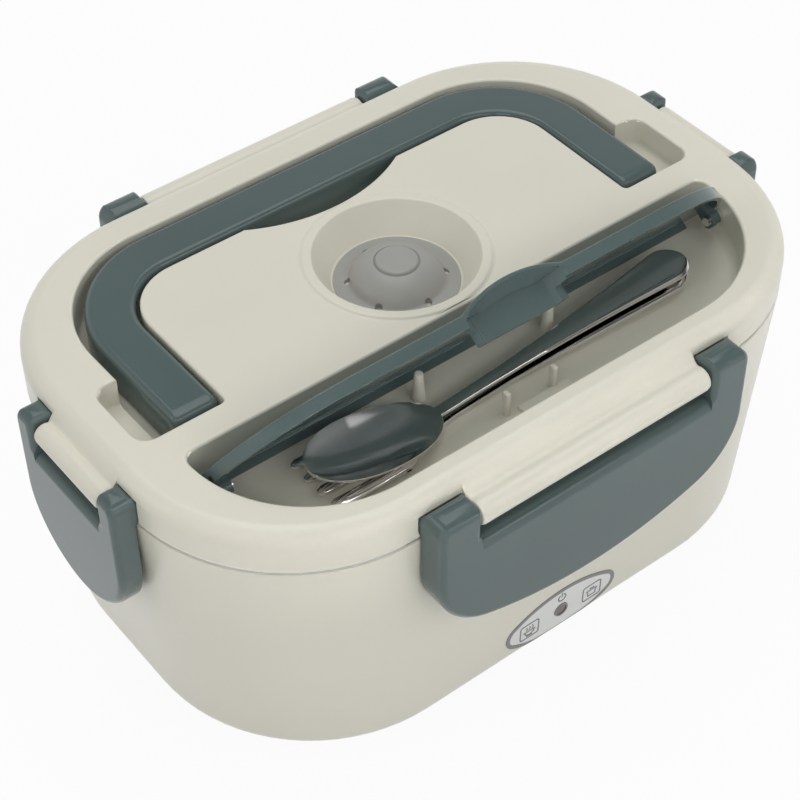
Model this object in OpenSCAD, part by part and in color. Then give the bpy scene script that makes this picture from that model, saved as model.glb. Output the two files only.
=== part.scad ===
/* [Body] */
// length of the body at the seam
body_l = 234; // [230:1:244]
// width of the body at the seam
body_w = 156.8; // [155:0.1:164]
// height of the lid's top above the table
body_h = 104.5; // [102:0.5:120]
// corner radius at the seam
corner_r = 58.4; // [56:0.1:60]
// how much shorter the foot of the body is, per side
taper_l = 5.5; // [4:0.1:6]
// how much narrower the foot of the body is, per side
taper_w = 2.4; // [1.5:0.1:2.8]
// wall of the outer shell
wall = 2.4; // [2:0.1:2.6]

/* [Lid] */
// height of the lid above the seam
lid_h = 14; // [13.8:0.1:15]
// rounding of the lid's top edge
lid_round = 5.5; // [4:0.1:6]
// depth of the handle groove and the cutlery recess
sink = 13.5; // [13.4:0.1:14]
// height of the raised ring around the valve
ring_h = 0.8; // [0.5:0.1:1.2]

/* [Handle] */
// half width over the handle's legs
grip_x = 93.5; // [92.5:0.1:94.5]
// width of a handle leg
grip_w = 15.5; // [14:0.1:15.5]
// thickness of the handle
grip_t = 12.6; // [11:0.1:12.6]

/* [Cutlery cover] */
// how far the cover stands open
cover_open = 58; // [58:1:58]
// thickness of the cover's plate
cover_t = 2; // [1.6:0.1:2.2]
// depth of the cover's skirt
skirt_d = 4.25; // [3.5:0.05:4.5]

/* [Latches] */
// thickness of a latch's front panel
latch_t = 2.2; // [1.8:0.1:2.6]
// drop of the long latches below the lid's top
long_drop = 58; // [54:0.5:62]
// drop of the short latches below the lid's top
short_drop = 58.5; // [54:0.5:62]

/* [Hidden] */
$fn = 64;
hx = body_l / 2;
hy = body_w / 2;
seam_z = body_h - lid_h;
shell_top = seam_z - 1;
foot_z = 1.5;
foot_r = 6;
foot_top = foot_z + foot_r;
skin = 2;
groove_z = body_h - sink;
ivory = [0.85, 0.84, 0.78];
teal = [0.40, 0.46, 0.45];
steel = [0.75, 0.76, 0.78];
dark = [0.2, 0.2, 0.21];
silicone = [0.90, 0.90, 0.88];

// lid furniture
pivot_y = -4.5;
pivot_z = body_h - 6.5;
hinge_y = -35.2;
hinge_z = body_h - 6.6;
valve_y = 7;
bowl_r = 26.3;
bowl_foot = 20.8;
bowl_d = 10;

// latch axes: how far out, how far below the lid's top, half lip length, half latch length
long_a = hy + 5.6;
long_w = body_h - 9.2;
long_lip = 43.5;
long_half = 58.5;
short_a = hx + 3.6;
short_w = body_h - 9;
short_lip = 17;
short_half = 26;
pin_r = 1.5;

// tub sizes
tray_x = hx - 9.6;
tray_y = hy - 6.8;
tray_r = 52;
tray_z = 24.2;
sheet = 0.8;
liner_x = hx - 8;
liner_y = hy - 5.2;
liner_r = 55;
liner_z = 20.4;
ledge_z = shell_top - 2.3;
power_z = 13.3;
inlet_z = 13.8;

// ---- shapes used by several pieces ----

module plan(x, y, r) {
    square([2 * x, 2 * (y - r)], center = true);
    square([2 * (x - r), 2 * y], center = true);
    for (i = [-1, 1], j = [-1, 1])
        translate([i * (x - r), j * (y - r)])
            circle(r);
}

module slab(x, y, r, z0, z1) {
    translate([0, 0, z0])
        linear_extrude(z1 - z0)
            plan(x, y, r);
}

module block(x0, x1, y0, y1, z0, z1) {
    translate([x0, y0, z0])
        cube([x1 - x0, y1 - y0, z1 - z0]);
}

module sides_x() {
    for (i = [0, 1])
        mirror([i, 0, 0])
            children();
}

module four() {
    for (i = [0, 1], j = [0, 1])
        mirror([i, 0, 0])
            mirror([0, j, 0])
                children();
}

module rod(r, x0, x1, y, z) {
    translate([x0, y, z])
        rotate([0, 90, 0])
            cylinder(h = x1 - x0, r = r);
}

// tapered body with a rounded foot, drawn smaller by an inset
module body_form(inset, z0, z1) {
    fx = hx - taper_l - inset;
    fy = hy - taper_w - inset;
    hull() {
        slab(hx - inset, hy - inset, corner_r - inset, z1 - 0.5, z1);
        for (a = [0, 30, 60, 90]) {
            d = (foot_r - inset) * (1 - cos(a));
            z = z0 + (foot_r - inset) * (1 - sin(a));
            slab(fx - d, fy - d, corner_r + 0.6 - inset - d, z, z + 0.01);
        }
    }
}

module lid_form() {
    hull() {
        slab(hx, hy, corner_r, seam_z, seam_z + 1);
        for (a = [0, 22.5, 45, 67.5, 90]) {
            d = lid_round * (1 - cos(a));
            z = body_h - lid_round * (1 - sin(a));
            slab(hx - d, hy - d, corner_r - d, z - 0.01, z);
        }
    }
}

// ---- outlines in the lid's top ----

module groove_plan(grow) {
    y1 = 65.4 + grow;
    x1 = 97 + grow;
    r = 38 + grow;
    translate([-x1, -12.7 - grow])
        square([2 * x1, y1 - r + 12.7 + grow]);
    translate([-x1 + r, 0])
        square([2 * (x1 - r), y1]);
    for (i = [-1, 1])
        translate([i * (x1 - r), y1 - r])
            circle(r);
}

module platform_plan(shrink) {
    x1 = 77 - shrink;
    y1 = 46.2 - shrink;
    r = 19 - shrink;
    difference() {
        union() {
            translate([-x1, -30])
                square([2 * x1, y1 - r + 30]);
            translate([-x1 + r, 0])
                square([2 * (x1 - r), y1]);
            for (i = [-1, 1])
                translate([i * (x1 - r), y1 - r])
                    circle(r);
        }
        translate([0, 38 + 58.5])
            circle(58.5 + shrink);
    }
}

module recess_plan(grow) {
    intersection() {
        union() {
            for (i = [-1, 1])
                translate([i * 57, -26.5])
                    circle(42 + grow);
            translate([-57, -68.5 - grow])
                square([114, 60]);
        }
        translate([-120, -90])
            square([240, 90 - 23.2 + grow]);
    }
}

// ---- base ----

module inlet_cut() {
    block(hx - taper_l - 6, hx + 5, -10.05, 10.05, inlet_z - 5.05, inlet_z + 5.05);
}

// oval of four arcs, 45 by 20.4 mm, driven through the front wall
module panel_oval(grow) {
    translate([0, -hy + 12, power_z])
        rotate([90, 0, 0])
            linear_extrude(20) {
                for (i = [-1, 1])
                    translate([i * 17.1, 0])
                        circle(5.4 + grow);
                intersection() {
                    translate([0, 28.06])
                        circle(38.26 + grow);
                    translate([0, -28.06])
                        circle(38.26 + grow);
                    square([39.8, 40], center = true);
                }
            }
}

module outer_shell()
    color(ivory)
        difference() {
            union() {
                difference() {
                    body_form(0, foot_z, shell_top);
                    difference() {
                        body_form(wall, foot_z + wall, shell_top + 1);
                        slab(hx, hy, corner_r, 0, foot_z + 4.6);
                    }
                    slab(84, 46, 36, 0, foot_z + 5);
                }
                difference() {
                    slab(hx - 1.6, hy - 1.6, corner_r - 1.6, ledge_z - 2.4, ledge_z);
                    slab(liner_x + 0.9, liner_y + 0.8, liner_r + 0.8, ledge_z - 3, ledge_z + 1);
                }
                four()
                    translate([72, 50, foot_z + 2.2])
                        cylinder(h = 10, r = 3.6);
                for (j = [-1, 1]) {
                    block(-26, 26, j * hy - 1.1, j * hy + 1.1, body_h - 21.8, body_h - 20.2);
                    block(j * hx - 1.1, j * hx + 1.1, -10, 10, body_h - 21.8, body_h - 20.2);
                }
            }
            slab(100.4, 64.4, 52.4, 0, foot_z + 2.2);
            four()
                translate([72, 50, 0])
                    cylinder(h = 11, r = 1.25);
            difference() {
                panel_oval(0.1);
                body_form(1.1, foot_z + 1.1, shell_top);
            }
            translate([0, -hy + 12, power_z])
                rotate([90, 0, 0])
                    cylinder(h = 20, r = 2.75);
            inlet_cut();
        }

module bottom_cover()
    color(ivory)
        difference() {
            slab(100, 64, 52, foot_z + 0.1, foot_z + 2.1);
            four() {
                translate([72, 50, 0])
                    cylinder(h = 5, r = 1.7);
                translate([72, 50, 0])
                    cylinder(h = foot_z + 1.1, r = 3.3);
                translate([84, 22, 0])
                    cylinder(h = 5, r = 3);
            }
            for (i = [-3:3])
                block(i * 9 - 1.2, i * 9 + 1.2, -14, 14, 0, 5);
        }

module bottom_screws()
    color(steel)
        four()
            translate([72, 50, 0]) {
                translate([0, 0, foot_z + 0.1])
                    difference() {
                        cylinder(h = 1, r = 3.1);
                        block(-2, 2, -0.4, 0.4, -1, 0.6);
                        block(-0.4, 0.4, -2, 2, -1, 0.6);
                    }
                translate([0, 0, foot_z + 1])
                    cylinder(h = 8, r = 1.2);
            }

module rubber_feet()
    color(dark)
        four()
            translate([84, 22, 0]) {
                cylinder(h = foot_z + 0.1, r1 = 5.4, r2 = 6);
                translate([0, 0, foot_z])
                    cylinder(h = 2, r = 2.95);
            }

module inner_liner()
    color(steel)
        difference() {
            union() {
                slab(liner_x, liner_y, liner_r, liner_z, ledge_z + 0.9);
                slab(hx - 3.4, hy - 3.2, corner_r - 3.2, ledge_z + 0.1, ledge_z + 0.9);
            }
            slab(liner_x - sheet, liner_y - sheet, liner_r - sheet, liner_z + 1, body_h);
            slab(56, 31, 8, 0, liner_z + 5);
            for (j = [-1, 1])
                translate([j * 70, 0, 0])
                    cylinder(h = liner_z + 5, r = 1.7);
        }

module heating_plate()
    color(steel)
        difference() {
            union() {
                slab(62, 37, 12, liner_z + 1.1, liner_z + 3.6);
                slab(55.5, 30.5, 7.5, liner_z - 0.5, liner_z + 1.2);
            }
            for (j = [-1, 1])
                translate([j * 42, 0, 0])
                    cylinder(h = liner_z + 2, r = 1.25);
        }

module ptc_heater()
    color([0.82, 0.80, 0.74])
        block(-30, 30, -12, 12, liner_z - 7.5, liner_z - 0.55);

module heater_bracket()
    color(steel)
        difference() {
            union() {
                block(-48, 48, -6, 6, liner_z - 8.8, liner_z - 7.6);
                for (j = [-1, 1]) {
                    block(j * 35 - 0.6, j * 35 + 0.6, -6, 6, liner_z - 8.8, liner_z - 0.6);
                    block(min(j * 34.4, j * 48), max(j * 34.4, j * 48), -6, 6, liner_z - 1.8, liner_z - 0.6);
                }
            }
            for (j = [-1, 1]) {
                translate([j * 42, 0, 0])
                    cylinder(h = liner_z, r = 1.7);
                block(min(j * 35.6, j * 50), max(j * 35.6, j * 50), -7, 7, liner_z - 9, liner_z - 1.8);
            }
        }

module heater_screws()
    color(steel)
        for (j = [-1, 1])
            translate([j * 42, 0, 0]) {
                translate([0, 0, liner_z - 3.4])
                    cylinder(h = 1.6, r = 2.8);
                translate([0, 0, liner_z - 2])
                    cylinder(h = 3, r = 1.2);
            }

module thermostat()
    color(dark) {
        translate([-20, 22.5, liner_z - 7])
            cylinder(h = 6.4, r = 7.5);
        for (j = [-1, 1])
            block(-20 + j * 4 - 1.6, -20 + j * 4 + 1.6, 22, 23, liner_z - 11, liner_z - 6.9);
    }

module thermal_fuse()
    color([0.88, 0.86, 0.80])
        rod(1.8, -2, 12, 20, liner_z - 2.4);

module insulation_pad()
    color([0.86, 0.86, 0.84])
        slab(60, 34, 10, foot_z + 2.2, foot_z + 5);

module indicator_board()
    color([0.18, 0.36, 0.26])
        block(-9, 9, -hy + 10.8, -hy + 12.4, power_z - 6, power_z + 6);

module indicator_lamp()
    color([0.85, 0.45, 0.2])
        translate([0, -hy + 10.7, power_z])
            rotate([90, 0, 0])
                cylinder(h = 5.6, r = 1.5);

module lamp_bezel()
    color(silicone)
        translate([0, -hy + 6.4, power_z])
            rotate([90, 0, 0])
                difference() {
                    cylinder(h = 4.6, r = 2.65);
                    translate([0, 0, -1])
                        cylinder(h = 8, r = 2.05);
                }

module lamp_lens()
    color([0.30, 0.12, 0.10])
        translate([0, -hy + 4.8, power_z])
            rotate([90, 0, 0])
                cylinder(h = 2.8, r = 2);

module power_panel()
    color([0.92, 0.92, 0.90])
        difference() {
            intersection() {
                panel_oval(0);
                body_form(0, foot_z, shell_top);
            }
            body_form(1, foot_z + 1, shell_top);
            translate([0, -hy + 12, power_z])
                rotate([90, 0, 0])
                    cylinder(h = 20, r = 2.75);
        }

module inlet_housing()
    color(dark)
        difference() {
            union() {
                block(hx - 19, hx - taper_l - 0.4, -9.95, 9.95, inlet_z - 4.95, inlet_z + 4.95);
                block(hx - 10.4, hx - 7.9, -14, 14, inlet_z - 4.95, inlet_z + 4.95);
            }
            translate([hx - 16.5, 0, inlet_z])
                rotate([0, 90, 0])
                    linear_extrude(20)
                        union() {
                            square([7, 9], center = true);
                            for (j = [-1, 1])
                                translate([0, j * 4.5])
                                    circle(3.5);
                        }
            for (j = [-1, 1])
                rod(1.15, hx - 25, hx - 10, j * 4.2, inlet_z);
        }

module inlet_pins()
    color(steel)
        for (j = [-1, 1])
            rod(1.1, hx - 22, hx - 8.4, j * 4.2, inlet_z);

module lead(points, r) {
    for (i = [0:len(points) - 2]) {
        d = points[i + 1] - points[i];
        translate(points[i])
            rotate([0, acos(d[2] / norm(d)), atan2(d[1], d[0])])
                cylinder(h = norm(d), r = r);
    }
    for (i = [1:len(points) - 2])
        translate(points[i])
            sphere(r + 0.02, $fn = 24);
}

module live_lead()
    color([0.45, 0.30, 0.20])
        lead([[hx - 22.8, 4.2, inlet_z], [76, 24, inlet_z - 2], [14, 27, liner_z - 4], [13.1, 20, liner_z - 2.4]], 1);

module neutral_lead()
    color([0.25, 0.35, 0.55])
        lead([[hx - 22.8, -4.2, inlet_z], [72, -22, inlet_z - 2], [36, -22, liner_z - 5], [24, -13.4, liner_z - 4]], 1);

module lamp_leads()
    color([0.7, 0.2, 0.2])
        for (j = [-1, 1])
            lead([[j * 5, -hy + 12.8, power_z], [j * 5 + 4, -48, power_z], [j * 3 + 2, -13.2, liner_z - 4]], 0.7);

// ---- inside the box ----

module steel_tray()
    color(steel)
        difference() {
            union() {
                slab(tray_x, tray_y, tray_r, tray_z, seam_z - 0.1);
                slab(hx - 0.6, hy - 0.6, corner_r - 0.6, seam_z - 0.9, seam_z - 0.1);
            }
            slab(tray_x - sheet, tray_y - sheet, tray_r - sheet, tray_z + sheet, body_h);
        }

module compartment_box()
    color([0.93, 0.93, 0.91])
        translate([70, 0, 0])
            difference() {
                union() {
                    slab(32, 54, 24, tray_z + 1.2, 70);
                    slab(33.5, 55.5, 25.5, 67.5, 70);
                }
                slab(30.5, 52.5, 22.5, tray_z + 2.7, 80);
            }

module compartment_lid()
    color([0.86, 0.88, 0.86])
        translate([70, 0, 0]) {
            slab(33.5, 55.5, 25.5, 70.1, 71.9);
            difference() {
                slab(30.2, 52.2, 22.2, 66.5, 70.2);
                slab(28.8, 50.8, 20.8, 66, 70);
            }
            translate([0, 0, 71.8])
                cylinder(h = 3.5, r = 7);
        }

// ---- lid ----

module lip_long()
    sides_x() {
        rod(4.1, -0.01, long_lip, -long_a, long_w);
        block(-0.01, long_lip, -long_a, -hy + 1, long_w - 3.4, long_w + 1.6);
    }

module lip_short()
    for (j = [0, 1])
        mirror([0, j, 0]) {
            translate([-short_a, short_lip, short_w])
                rotate([90, 0, 0])
                    cylinder(h = short_lip + 0.01, r = 3.7);
            block(-short_a, -hx + 1, -0.01, short_lip, short_w - 3, short_w + 1.4);
        }

module lid_posts(r, z0, z1)
    for (i = [0, 1])
        mirror([i, 0, 0]) {
            for (y = [-12, 22])
                translate([100.4, y, z0])
                    cylinder(h = z1 - z0, r = r);
        }

module lid_solid() {
    difference() {
        lid_form();
        slab(hx - skin - 0.2, hy - skin - 0.2, corner_r - skin - 0.2, 0, body_h - 5);
        slab(hx - 5, hy - 5, corner_r - 5, 0, body_h - skin - 0.2);
    }
    difference() {
        translate([0, 0, groove_z - skin])
            linear_extrude(sink + skin - 1)
                groove_plan(skin);
        translate([0, 0, groove_z - skin - 1])
            linear_extrude(sink + 0.8)
                platform_plan(skin);
    }
    translate([0, 0, groove_z - skin])
        linear_extrude(sink + skin - 1)
            recess_plan(1.6);
    block(-107.5, 107.5, -14.7, 16, body_h - 12.5, body_h - 1);
    translate([0, valve_y, body_h - bowl_d - skin])
        cylinder(h = bowl_d + skin - 1, r1 = bowl_foot + skin, r2 = bowl_r + skin);
    translate([0, valve_y, body_h - 1])
        cylinder(h = 1 + ring_h, r = 29.6);
    sides_x() {
        rod(4.4, 68, 76, pivot_y, pivot_z);
        rod(4, 97, 104, hinge_y, hinge_z);
    }
    lid_posts(2.6, body_h - 17.5, body_h - 11.5);
    four() {
        block(long_lip - 1, long_half + 1.5, -hy + 1, -hy + 4.5, seam_z, body_h - 3);
        block(-hx + 1, -hx + 5.5, short_lip - 1, short_half + 1.5, seam_z, body_h - 3);
    }
    for (j = [0, 1]) {
        mirror([0, j, 0])
            lip_long();
        mirror([j, 0, 0])
            lip_short();
    }
}

module lid_shell()
    color(ivory)
        union() {
            difference() {
                lid_solid();
                translate([0, 0, groove_z])
                    linear_extrude(sink + 1)
                        difference() {
                            groove_plan(0);
                            platform_plan(0);
                        }
                for (i = [-1, 1])
                    translate([i * 99, 0.65, body_h - 10.5])
                        linear_extrude(12)
                            plan(6.5, 13.35, 5);
                block(-75, 75, -12.7, 15, groove_z - skin - 1, groove_z - 0.01);
                translate([0, 0, groove_z])
                    linear_extrude(sink + 1)
                        recess_plan(0);
                translate([0, valve_y, body_h - bowl_d])
                    cylinder(h = bowl_d, r1 = bowl_foot, r2 = bowl_r);
                translate([0, valve_y, body_h - 0.01])
                    cylinder(h = 2, r = bowl_r);
                translate([0, valve_y, body_h - 20])
                    cylinder(h = 20, r = 3.2);
                sides_x() {
                    rod(2.25, 66, 78, pivot_y, pivot_z);
                    rod(1.65, 90, 103.2, hinge_y, hinge_z);
                }
                lid_posts(1.25, body_h - 20, body_h - 13.2);
                four() {
                    rod(6.8, long_lip + 0.05, long_half + 0.4, -long_a, long_w);
                    rod(pin_r, long_lip - 6, long_lip + 1, -long_a, long_w);
                    translate([-short_a, short_half + 0.4, short_w])
                        rotate([90, 0, 0])
                            cylinder(h = short_half + 0.35 - short_lip, r = 6.1);
                    translate([-short_a, short_lip + 1, short_w])
                        rotate([90, 0, 0])
                            cylinder(h = 7, r = pin_r);
                }
            }
            sides_x() {
                translate([26.5, -35, groove_z - 0.5])
                    cylinder(h = 11, r1 = 2.2, r2 = 1.4);
                block(8, 10, -58.8, -55.8, groove_z - 0.5, groove_z + 8.5);
            }
            block(-3, 11, -69, -67.5, groove_z - 0.5, body_h - 5);
        }

module lid_inner_cover()
    color(ivory)
        difference() {
            union() {
                slab(103.6, 67.4, 47.6, body_h - 24, body_h - 17.6);
                slab(106, 70, 50.2, body_h - 24, body_h - 22);
            }
            difference() {
                slab(101.6, 65.4, 45.6, body_h - 25, body_h - 19.6);
                lid_posts(4.5, body_h - 30, body_h - 10);
            }
            translate([0, valve_y, 0])
                cylinder(h = body_h, r = 4);
            lid_posts(1.4, body_h - 25, body_h - 17);
            lid_posts(2.8, body_h - 25, body_h - 22.4);
        }

module lid_gasket()
    color(silicone)
        difference() {
            slab(105.6, 69.6, 49.8, body_h - 21.9, body_h - 19.4);
            slab(103.65, 67.45, 47.65, body_h - 23, body_h - 18);
        }

module lid_screws()
    color(steel) {
        lid_posts(2.6, body_h - 23.9, body_h - 22.5);
        lid_posts(1.2, body_h - 23, body_h - 13.6);
    }

module handle_pins()
    color(steel)
        sides_x()
            rod(2.2, 67, 92, pivot_y, pivot_z);

module cover_pins()
    color(steel)
        sides_x()
            rod(1.6, 91.2, 103, hinge_y, hinge_z);

module latch_pins()
    color(steel)
        four() {
            rod(pin_r - 0.01, long_lip - 5.5, long_half - 1.4, -long_a, long_w);
            translate([-short_a, short_half - 1.4, short_w])
                rotate([90, 0, 0])
                    cylinder(h = short_half - 1.4 - short_lip + 5.5, r = pin_r - 0.01);
        }

// ---- handle ----

module grip_plan(inset, y0) {
    x1 = grip_x - inset;
    y1 = 63.6 - inset;
    r = 36 - inset;
    xi = grip_x - grip_w + inset;
    yi = 47.6 + inset;
    ri = 19 + inset;
    difference() {
        intersection() {
            union() {
                translate([-x1, y0])
                    square([2 * x1, y1 - r - y0]);
                translate([-x1 + r, y0])
                    square([2 * (x1 - r), y1 - y0]);
                for (i = [-1, 1])
                    translate([i * (x1 - r), y1 - r])
                        circle(r);
            }
            translate([-x1, y0])
                square([2 * x1, y1 - y0]);
        }
        translate([-xi, y0 - 1])
            square([2 * xi, yi - ri - y0 + 1]);
        translate([-xi + ri, y0 - 1])
            square([2 * (xi - ri), yi - y0 + 1]);
        for (i = [-1, 1])
            translate([i * (xi - ri), yi - ri])
                circle(ri);
    }
}

module leg_end()
    translate([grip_x, pivot_y, pivot_z])
        rotate([0, -90, 0])
            linear_extrude(grip_w)
                union() {
                    circle(grip_t - 6.5);
                    translate([0, -6.5])
                        square([3.5, 12]);
                    translate([0, -3.5])
                        square([6.5, 9]);
                    translate([3.5, -3.5])
                        circle(3);
                    translate([6.5 - grip_t, 0])
                        square([grip_t, 6]);
                }

module carry_handle()
    color(teal)
        difference() {
            union() {
                translate([0, 0, body_h - grip_t])
                    linear_extrude(grip_t)
                        grip_plan(0, pivot_y + 5);
                sides_x()
                    leg_end();
            }
            translate([0, 0, body_h - grip_t - 1])
                linear_extrude(grip_t - 1.6)
                    grip_plan(2.2, pivot_y + 9);
            sides_x()
                rod(2.26, 70, 92.3, pivot_y, pivot_z);
        }

// ---- steam valve ----

module steam_valve()
    color(silicone)
        translate([0, valve_y, 0])
            difference() {
                union() {
                    translate([0, 0, body_h - bowl_d + 0.1])
                        cylinder(h = 0.5, r = 20);
                    translate([0, 0, body_h - bowl_d + 0.5])
                        cylinder(h = 2.4, r1 = 12.6, r2 = 11.4);
                    translate([0, 0, body_h - 7.15])
                        cylinder(h = 3, r1 = 11.4, r2 = 7.6);
                    translate([0, 0, body_h - 4.2])
                        cylinder(h = 2.7, r1 = 7, r2 = 6.6);
                    translate([0, 0, body_h - 15])
                        cylinder(h = 6, r = 2.9);
                }
                for (k = [0:5])
                    rotate([0, 0, 31 + 60 * k])
                        translate([15, 0, body_h - 11])
                            linear_extrude(3)
                                plan(1, 2.6, 0.9);
            }

// ---- cutlery cover, drawn shut and then swung open ----

module cover_plan(inset) {
    intersection() {
        union() {
            for (i = [-1, 1])
                translate([i * 57, -26.5])
                    circle(41.1 - inset);
            translate([-57, -67.6 + inset])
                square([114, 60]);
        }
        translate([-120, -90])
            square([240, 90 - 25.9 - inset]);
    }
}

module arch(r, y0, y1)
    translate([0, y1, cover_top + 4.1 - 43.1])
        rotate([90, 0, 0])
            cylinder(h = y1 - y0, r = r, $fn = 96);

cover_top = body_h - 0.3;

module scoop(grow, z0, z1)
    translate([0, 0, z0])
        linear_extrude(z1 - z0)
            polygon([
                [-18.3 - grow, -69],
                [18.3 + grow, -69],
                [18.3 + grow, -67.6],
                [13.25 + grow, -61.2 + grow],
                [-13.25 - grow, -61.2 + grow],
                [-18.3 - grow, -67.6]
            ]);

module hood() {
    difference() {
        intersection() {
            arch(43.1, -67.6, -58.5);
            block(-20, 20, -67.6, -58.5, cover_top - 0.5, cover_top + 5);
            rotate([90, 0, 90])
                linear_extrude(60, center = true)
                    polygon([
                        [-70, cover_top - 1],
                        [-70, cover_top + 6],
                        [-66.6, cover_top + 4.2],
                        [-58.6, cover_top - 0.4],
                        [-58.6, cover_top - 1]
                    ]);
        }
        intersection() {
            arch(41.9, -69, -61.2);
            scoop(0, cover_top - 2, cover_top + 5);
            rotate([90, 0, 90])
                linear_extrude(60, center = true)
                    polygon([
                        [-70, cover_top - 1],
                        [-70, cover_top + 4],
                        [-66.6, cover_top + 2.9],
                        [-62, cover_top + 0.4],
                        [-61.2, cover_top - 1]
                    ]);
        }
    }
}

module cover_shut() {
    difference() {
        union() {
            translate([0, 0, cover_top - cover_t])
                linear_extrude(cover_t)
                    cover_plan(0);
            translate([0, 0, cover_top - skirt_d])
                linear_extrude(skirt_d - 0.5)
                    difference() {
                        cover_plan(0);
                        cover_plan(1.8);
                    }
            intersection() {
                scoop(1.5, cover_top - 9.6, cover_top - 0.5);
                translate([0, 0, body_h - 20])
                    linear_extrude(30)
                        cover_plan(0);
            }
        }
        scoop(0, cover_top - 12, cover_top + 1);
        block(-30, 30, -70, -62.8, cover_top - 12, cover_top - 5);
        sides_x()
            block(89, 110, -38.6, -20, cover_top - 9, cover_top - cover_t);
    }
    block(-87, 87, -27.6, -25.9, cover_top - skirt_d, cover_top - 1);
    hood();
    for (y = [-32, -40, -48, -56])
        block(-60, -32, y - 0.5, y + 0.5, cover_top - cover_t - 0.6, cover_top - 1);
    for (y = [-32, -40, -48, -56])
        block(32, 60, y - 0.5, y + 0.5, cover_top - cover_t - 0.6, cover_top - 1);
    sides_x()
        difference() {
            union() {
                rod(3.3, 91.8, 95.6, hinge_y, hinge_z);
                block(91.8, 95.6, hinge_y - 2.6, hinge_y + 2.6, hinge_z, cover_top - 1);
            }
            rod(1.66, 91, 97, hinge_y, hinge_z);
            block(91, 97, hinge_y - 1.4, hinge_y + 1.4, hinge_z - 5, hinge_z);
        }
}

module cutlery_cover()
    color(teal)
        translate([0, hinge_y, hinge_z])
            rotate([-cover_open, 0, 0])
                translate([0, -hinge_y, -hinge_z])
                    cover_shut();

// ---- latches, drawn for the front and the left side and mirrored ----

module long_outline(inset) {
    intersection() {
        union() {
            translate([-long_half + inset, body_h - 28])
                square([2 * (long_half - inset), 28 - 9.2]);
            for (i = [-1, 1])
                translate([i * 34, body_h - 28])
                    circle(24.5 - inset);
            intersection() {
                translate([0, body_h - long_drop + 132.34])
                    circle(132.34 - inset);
                translate([-41.7, body_h - 80])
                    square([83.4, 60]);
            }
        }
        translate([-long_half - 1, body_h - 90])
            square([2 * long_half + 2, 90]);
    }
}

module short_outline(inset) {
    translate([-short_half + inset, body_h - short_drop + 26])
        square([2 * (short_half - inset), short_drop - 26 - 9]);
    translate([0, body_h - short_drop + 26])
        circle(short_half - inset);
}

module ear(a, w, r, face, back, x0, x1) {
    intersection() {
        rod(r, x0, x1, -a, w);
        block(x0 - 1, x1 + 1, -a - face, -a + 20, w - 20, w + 20);
    }
    block(x0, x1, -a - face, -a + back, w - 11, w);
}

module latch_body(a, w, r, face, back, trough, half, lip, drop) {
    difference() {
        union() {
            intersection() {
                translate([0, -a + back, 0])
                    rotate([90, 0, 0])
                        linear_extrude(back + face)
                            children(0);
                block(-70, 70, -a - 20, -a + 20, 0, w - 2);
            }
            sides_x()
                ear(a, w, r, face, back, lip + 0.5, half);
        }
        rod(trough, -lip - 0.5, lip + 0.5, -a, w);
        block(-lip - 0.5, lip + 0.5, -a - 20, -a + 20, w - 4.5, w + 20);
        intersection() {
            translate([0, -a + back + 1, 0])
                rotate([90, 0, 0])
                    linear_extrude(back + 1 + face - latch_t)
                        children(1);
            block(-70, 70, -a - 20, -a + 20, 0, w - 10.4);
        }
        sides_x()
            rod(pin_r + 0.06, lip - 1, half - 1, -a, w);
    }
    block(-lip * 0.62, lip * 0.62, -a - face + 1, -a + back - 0.9, w - 14.8, w - 13);
}

module long_latch()
    latch_body(long_a, long_w, 6.4, 4.7, 4.9, 7.9, long_half, long_lip, long_drop) {
        long_outline(0);
        long_outline(2.2);
    }

module short_latch()
    rotate([0, 0, -90])
        latch_body(short_a, short_w, 5.8, 4.2, 3, 7.4, short_half, short_lip, short_drop) {
            short_outline(0);
            short_outline(2.2);
        }

module front_latch()
    color(teal)
        long_latch();

module back_latch()
    color(teal)
        mirror([0, 1, 0])
            long_latch();

module left_latch()
    color(teal)
        short_latch();

module right_latch()
    color(teal)
        mirror([1, 0, 0])
            short_latch();

// ---- cutlery ----

module blade_plan(x1, y1, w0, w1) {
    polygon([
        [-30, -46.5 - w0], [0, -46.2 - w0], [x1 - w1, y1 - w1],
        [x1 - w1, y1 + w1], [0, -46.2 + w0], [-30, -46.5 + w0]
    ]);
    translate([x1 - w1, y1])
        circle(w1);
}

module bowl_plan(inset) {
    translate([-54, -46.5])
        circle(14 - inset);
    translate([-34, -46.5])
        circle(7.5 - inset);
    polygon([
        [-49.5, -59.8 + inset], [-31.6, -53.6 + inset], [-31.6, -39.4 - inset], [-49.5, -33.2 - inset]
    ]);
}

module spoon()
    color(steel) {
        intersection() {
            translate([-46, -46.5, body_h - 10.4 + 48])
                difference() {
                    sphere(48);
                    sphere(46.8);
                }
            translate([0, 0, body_h - 12])
                linear_extrude(8)
                    bowl_plan(0);
        }
        translate([0, 0, body_h - 8.6])
            linear_extrude(1.6)
                blade_plan(75, -43.5, 3, 7.2);
    }

module fork()
    color(steel)
        translate([0, 0, body_h - 12.6])
            linear_extrude(1.4) {
                blade_plan(77, -46, 3, 7);
                difference() {
                    union() {
                        translate([-45, -46.5])
                            circle(11.5);
                        translate([-36, -49.5])
                            square([8, 6]);
                        translate([-72, -57])
                            square([27, 21]);
                    }
                    for (i = [-1, 0, 1])
                        translate([-74, -46.5 + i * 5.8 - 1.4])
                            square([27, 2.8]);
                }
            }

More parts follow.
